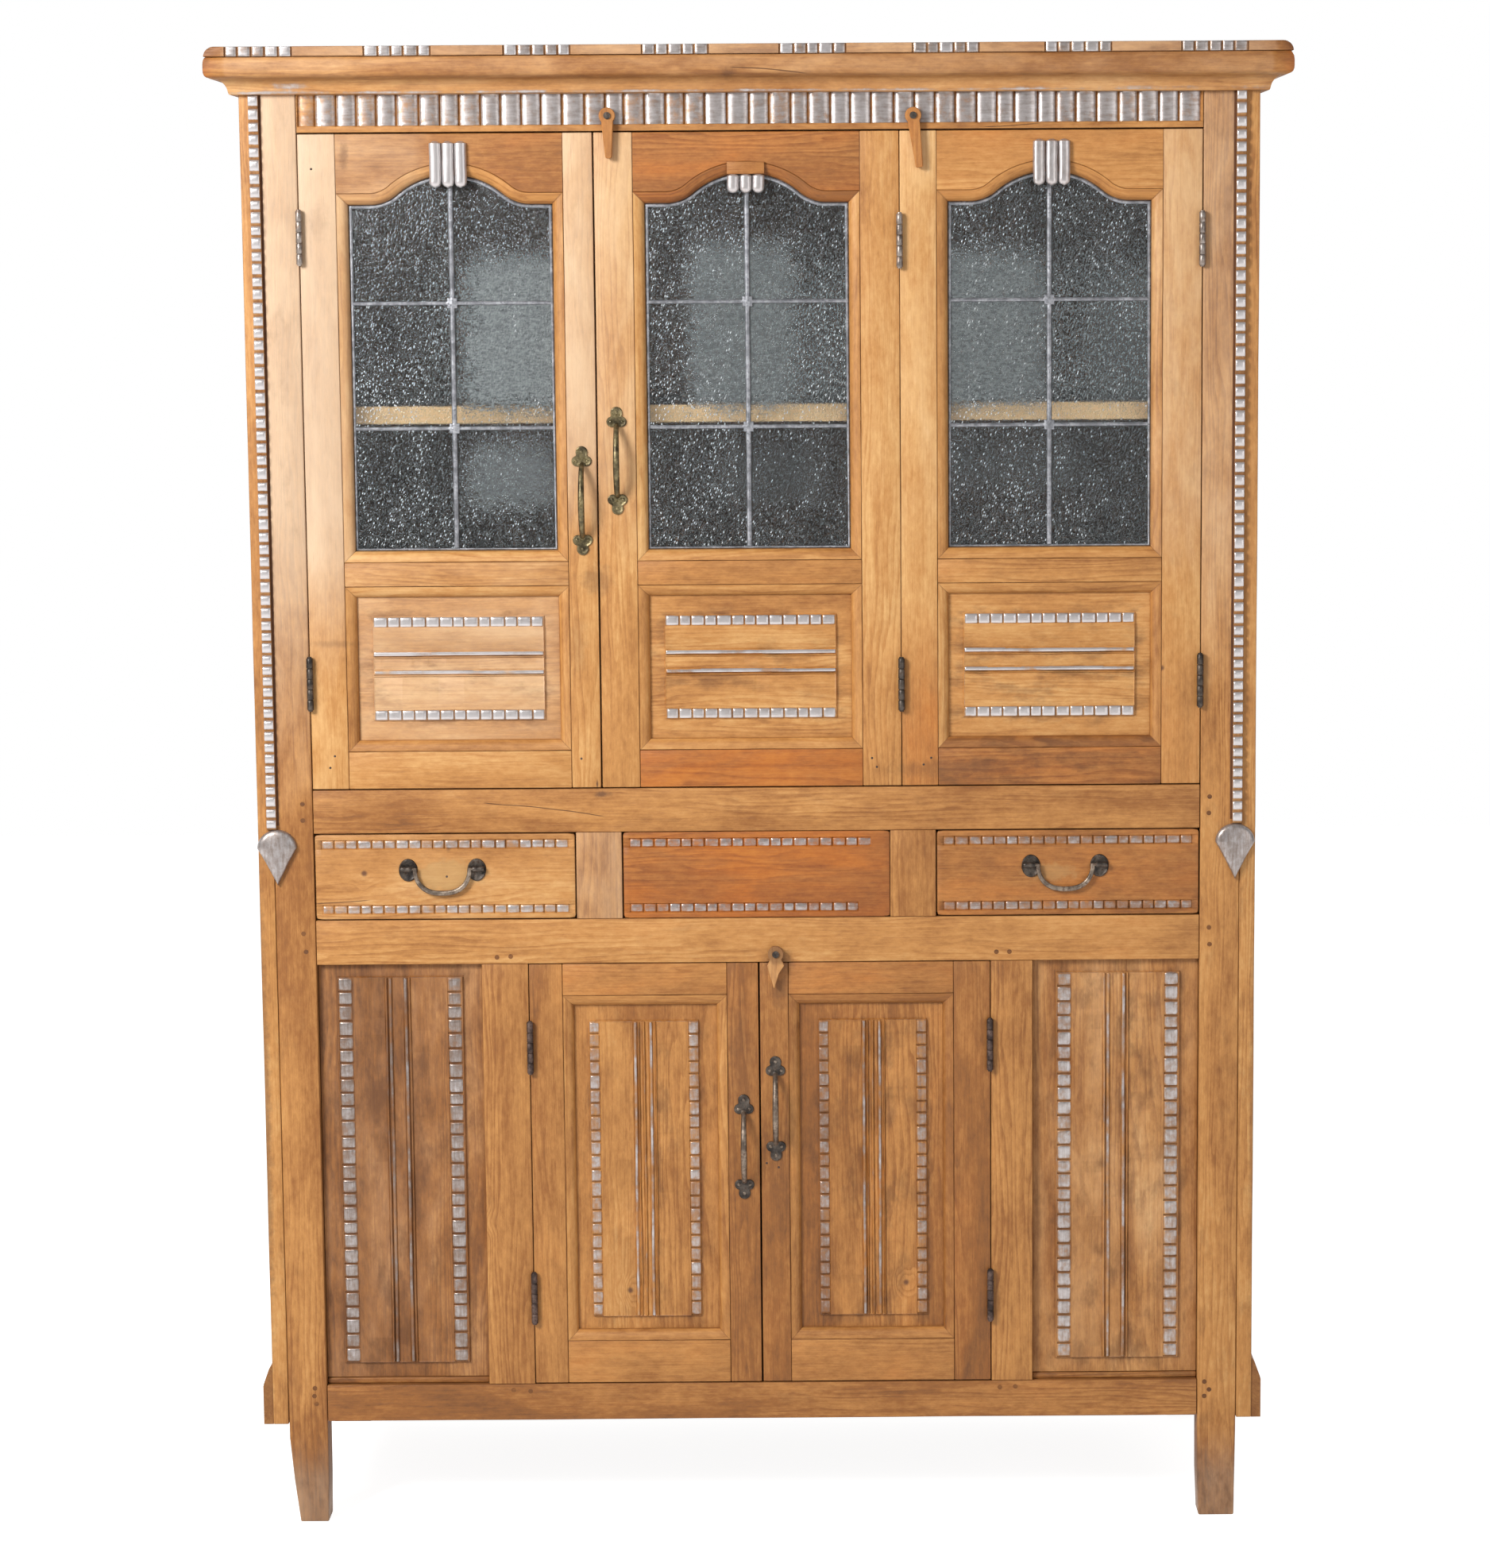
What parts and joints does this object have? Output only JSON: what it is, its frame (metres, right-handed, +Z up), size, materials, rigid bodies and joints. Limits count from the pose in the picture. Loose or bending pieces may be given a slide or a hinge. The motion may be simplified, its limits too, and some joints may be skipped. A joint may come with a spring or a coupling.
{
  "type": "trastero cabinet",
  "caption": "Tall two-tier wooden trastero cabinet with glazed, leaded upper doors, drawers, lower doors and carved bead and reed ornament, on post legs.",
  "frame": {"origin": "on the floor, at the centre of the cornice's outline", "axes": "+Z up; the front with its doors and drawers faces -Y; +X is the right-hand side seen from the front"},
  "size_m": [1.54, 0.603, 2.163],
  "materials": {
    "wood": "waxed honey-coloured softwood with dark seams",
    "wood_dark": "browner, worn softwood",
    "inner_wood": "plain sawn softwood",
    "carving": "carved wood with worn silver paint",
    "panel_carving": "carved wood with traces of silver paint",
    "iron": "dark oiled iron",
    "aged_brass": "dark aged brass",
    "lead": "dull grey lead",
    "glass": "clear rippled glass"
  },
  "bodies": {
    "carcase": {"left_front_post": "wood_dark", "right_front_post": "wood_dark", "rear_frame": "inner_wood", "frieze_rail": "carving", "face_rails": "wood", "face_uprights": "wood", "joint_pegs": "wood", "false_drawer_front": "panel_carving", "lower_fixed_panels": "panel_carving", "post_hinges": "iron", "button_screws": "iron", "bead_strips": "carving", "spade_drops": "carving", "side_frames": "wood_dark", "side_panels": "wood_dark", "base_mouldings": "wood", "back_boards": "inner_wood", "cornice_moulding": "wood", "top_board": "wood", "inner_boards": "inner_wood", "inner_battens": "inner_wood"},
    "left_door": {"left_door_frame": "wood", "left_door_panel": "panel_carving", "left_door_glass": "glass", "left_door_came": "lead", "left_door_keystone": "carving", "left_door_hinges": "iron", "left_door_handle": "aged_brass"},
    "centre_door": {"centre_door_frame": "wood", "centre_door_panel": "panel_carving", "centre_door_glass": "glass", "centre_door_came": "lead", "centre_door_keystone": "carving", "centre_door_hinges": "iron", "centre_door_handle": "aged_brass"},
    "right_door": {"right_door_frame": "wood", "right_door_panel": "panel_carving", "right_door_glass": "glass", "right_door_came": "lead", "right_door_keystone": "carving", "right_door_hinges": "iron"},
    "lower_left_door": {"lower_left_door_frame": "wood", "lower_left_door_panel": "panel_carving", "lower_left_door_hinges": "iron", "lower_left_door_handle": "iron"},
    "lower_right_door": {"lower_right_door_frame": "wood", "lower_right_door_panel": "panel_carving", "lower_right_door_hinges": "iron", "lower_right_door_handle": "iron"},
    "left_drawer": {"left_drawer_front": "wood", "left_drawer_box": "inner_wood", "left_drawer_pull_plates": "iron"},
    "right_drawer": {"right_drawer_front": "wood", "right_drawer_box": "inner_wood", "right_drawer_pull_plates": "iron"},
    "left_bail": {"left_drawer_bail": "iron"},
    "right_bail": {"right_drawer_bail": "iron"},
    "top_left_button": {"top_left_button": "wood"},
    "top_right_button": {"top_right_button": "wood"},
    "lower_button": {"lower_button": "wood"}
  },
  "joints": [
    {"name": "left_door_hinge", "type": "hinge", "parent": "carcase", "child": "left_door", "pos_m": [-0.6447, -0.2645, 1.576], "axis": [0, 0, -1], "range_deg": [0, 165]},
    {"name": "right_door_hinge", "type": "hinge", "parent": "carcase", "child": "right_door", "pos_m": [0.6447, -0.2645, 1.57], "axis": [0, 0, 1], "range_deg": [0, 165]},
    {"name": "centre_door_hinge", "type": "hinge", "parent": "right_door", "child": "centre_door", "pos_m": [0.212, -0.2645, 1.5685], "axis": [0, 0, 1], "range_deg": [0, 120]},
    {"name": "lower_left_door_hinge", "type": "hinge", "parent": "carcase", "child": "lower_left_door", "pos_m": [-0.3352, -0.2645, 0.5295], "axis": [0, 0, -1], "range_deg": [0, 165]},
    {"name": "lower_right_door_hinge", "type": "hinge", "parent": "carcase", "child": "lower_right_door", "pos_m": [0.3392, -0.2645, 0.5295], "axis": [0, 0, 1], "range_deg": [0, 165]},
    {"name": "left_drawer_slide", "type": "slide", "parent": "carcase", "child": "left_drawer", "axis": [0, -1, 0], "range_m": [0, 0.3]},
    {"name": "right_drawer_slide", "type": "slide", "parent": "carcase", "child": "right_drawer", "axis": [0, -1, 0], "range_m": [0, 0.3]},
    {"name": "left_bail_swing", "type": "hinge", "parent": "left_drawer", "child": "left_bail", "pos_m": [-0.459, -0.2655, 0.983], "axis": [-1, 0, 0], "range_deg": [0, 95]},
    {"name": "right_bail_swing", "type": "hinge", "parent": "right_drawer", "child": "right_bail", "pos_m": [0.4495, -0.2655, 0.983], "axis": [-1, 0, 0], "range_deg": [0, 95]},
    {"name": "top_left_button_turn", "type": "hinge", "parent": "carcase", "child": "top_left_button", "pos_m": [-0.203, -0.2675, 2.065], "axis": [0, 1, 0], "range_deg": [-100, 100]},
    {"name": "top_right_button_turn", "type": "hinge", "parent": "carcase", "child": "top_right_button", "pos_m": [0.232, -0.2675, 2.063], "axis": [0, 1, 0], "range_deg": [-100, 100]},
    {"name": "lower_button_turn", "type": "hinge", "parent": "carcase", "child": "lower_button", "pos_m": [0.026, -0.2675, 0.8555], "axis": [0, 1, 0], "range_deg": [-100, 100]}
  ]
}
